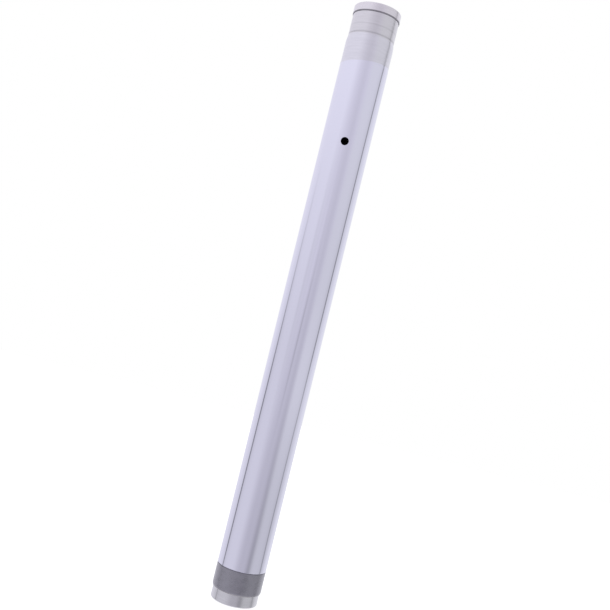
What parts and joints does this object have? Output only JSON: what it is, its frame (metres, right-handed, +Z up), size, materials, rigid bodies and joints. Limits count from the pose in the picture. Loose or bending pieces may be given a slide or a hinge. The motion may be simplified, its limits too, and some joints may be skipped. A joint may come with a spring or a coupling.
{
  "type": "front fork inner tube",
  "caption": "Hard-chromed steel fork inner tube with ground seats, an air hole, a spring stopper ring, a split slide bush and a lower check valve.",
  "frame": {"origin": "centre of the tube's lower end face, at the end that carries the slide bush", "axes": "+Z up the tube's axis to the end that carries the stopper ring, -Y out of the side hole, +X to the right"},
  "size_m": [0.043, 0.043, 0.5317],
  "materials": {
    "hard_chrome": "ground and polished hard chrome, with bare satin steel at the turned ends",
    "phosphated_steel": "dark phosphated spring wire",
    "bush_face": "dull dark grey low-friction facing on a steel back",
    "spring_steel": "oil-tempered spring steel",
    "plain_steel": "turned steel"
  },
  "bodies": {
    "tube": {"inner_tube": "hard_chrome", "backing_washer": "plain_steel", "wave_spring": "spring_steel"},
    "stopper": {"stopper_ring": "phosphated_steel"},
    "bush": {"slide_bush": "bush_face"},
    "valve": {"check_valve_ring": "plain_steel"},
    "snap_ring": {"valve_snap_ring": "spring_steel"}
  },
  "joints": [
    {"name": "stopper_ring_turn", "type": "hinge", "parent": "tube", "child": "stopper", "pos_m": [0, 0, 0.5242], "axis": [0, 0, 1], "continuous": true},
    {"name": "slide_bush_turn", "type": "hinge", "parent": "tube", "child": "bush", "pos_m": [0, 0, 0.02005], "axis": [0, 0, 1], "continuous": true},
    {"name": "valve_snap_ring_turn", "type": "hinge", "parent": "tube", "child": "snap_ring", "pos_m": [0, 0, 0.0038], "axis": [0, 0, 1], "continuous": true},
    {"name": "check_valve_lift", "type": "slide", "parent": "tube", "child": "valve", "axis": [0, 0, -1], "range_m": [0, 0.0015], "stiffness_N_per_m": 800, "springref_m": -0.003, "deforming": ["wave_spring"]}
  ]
}
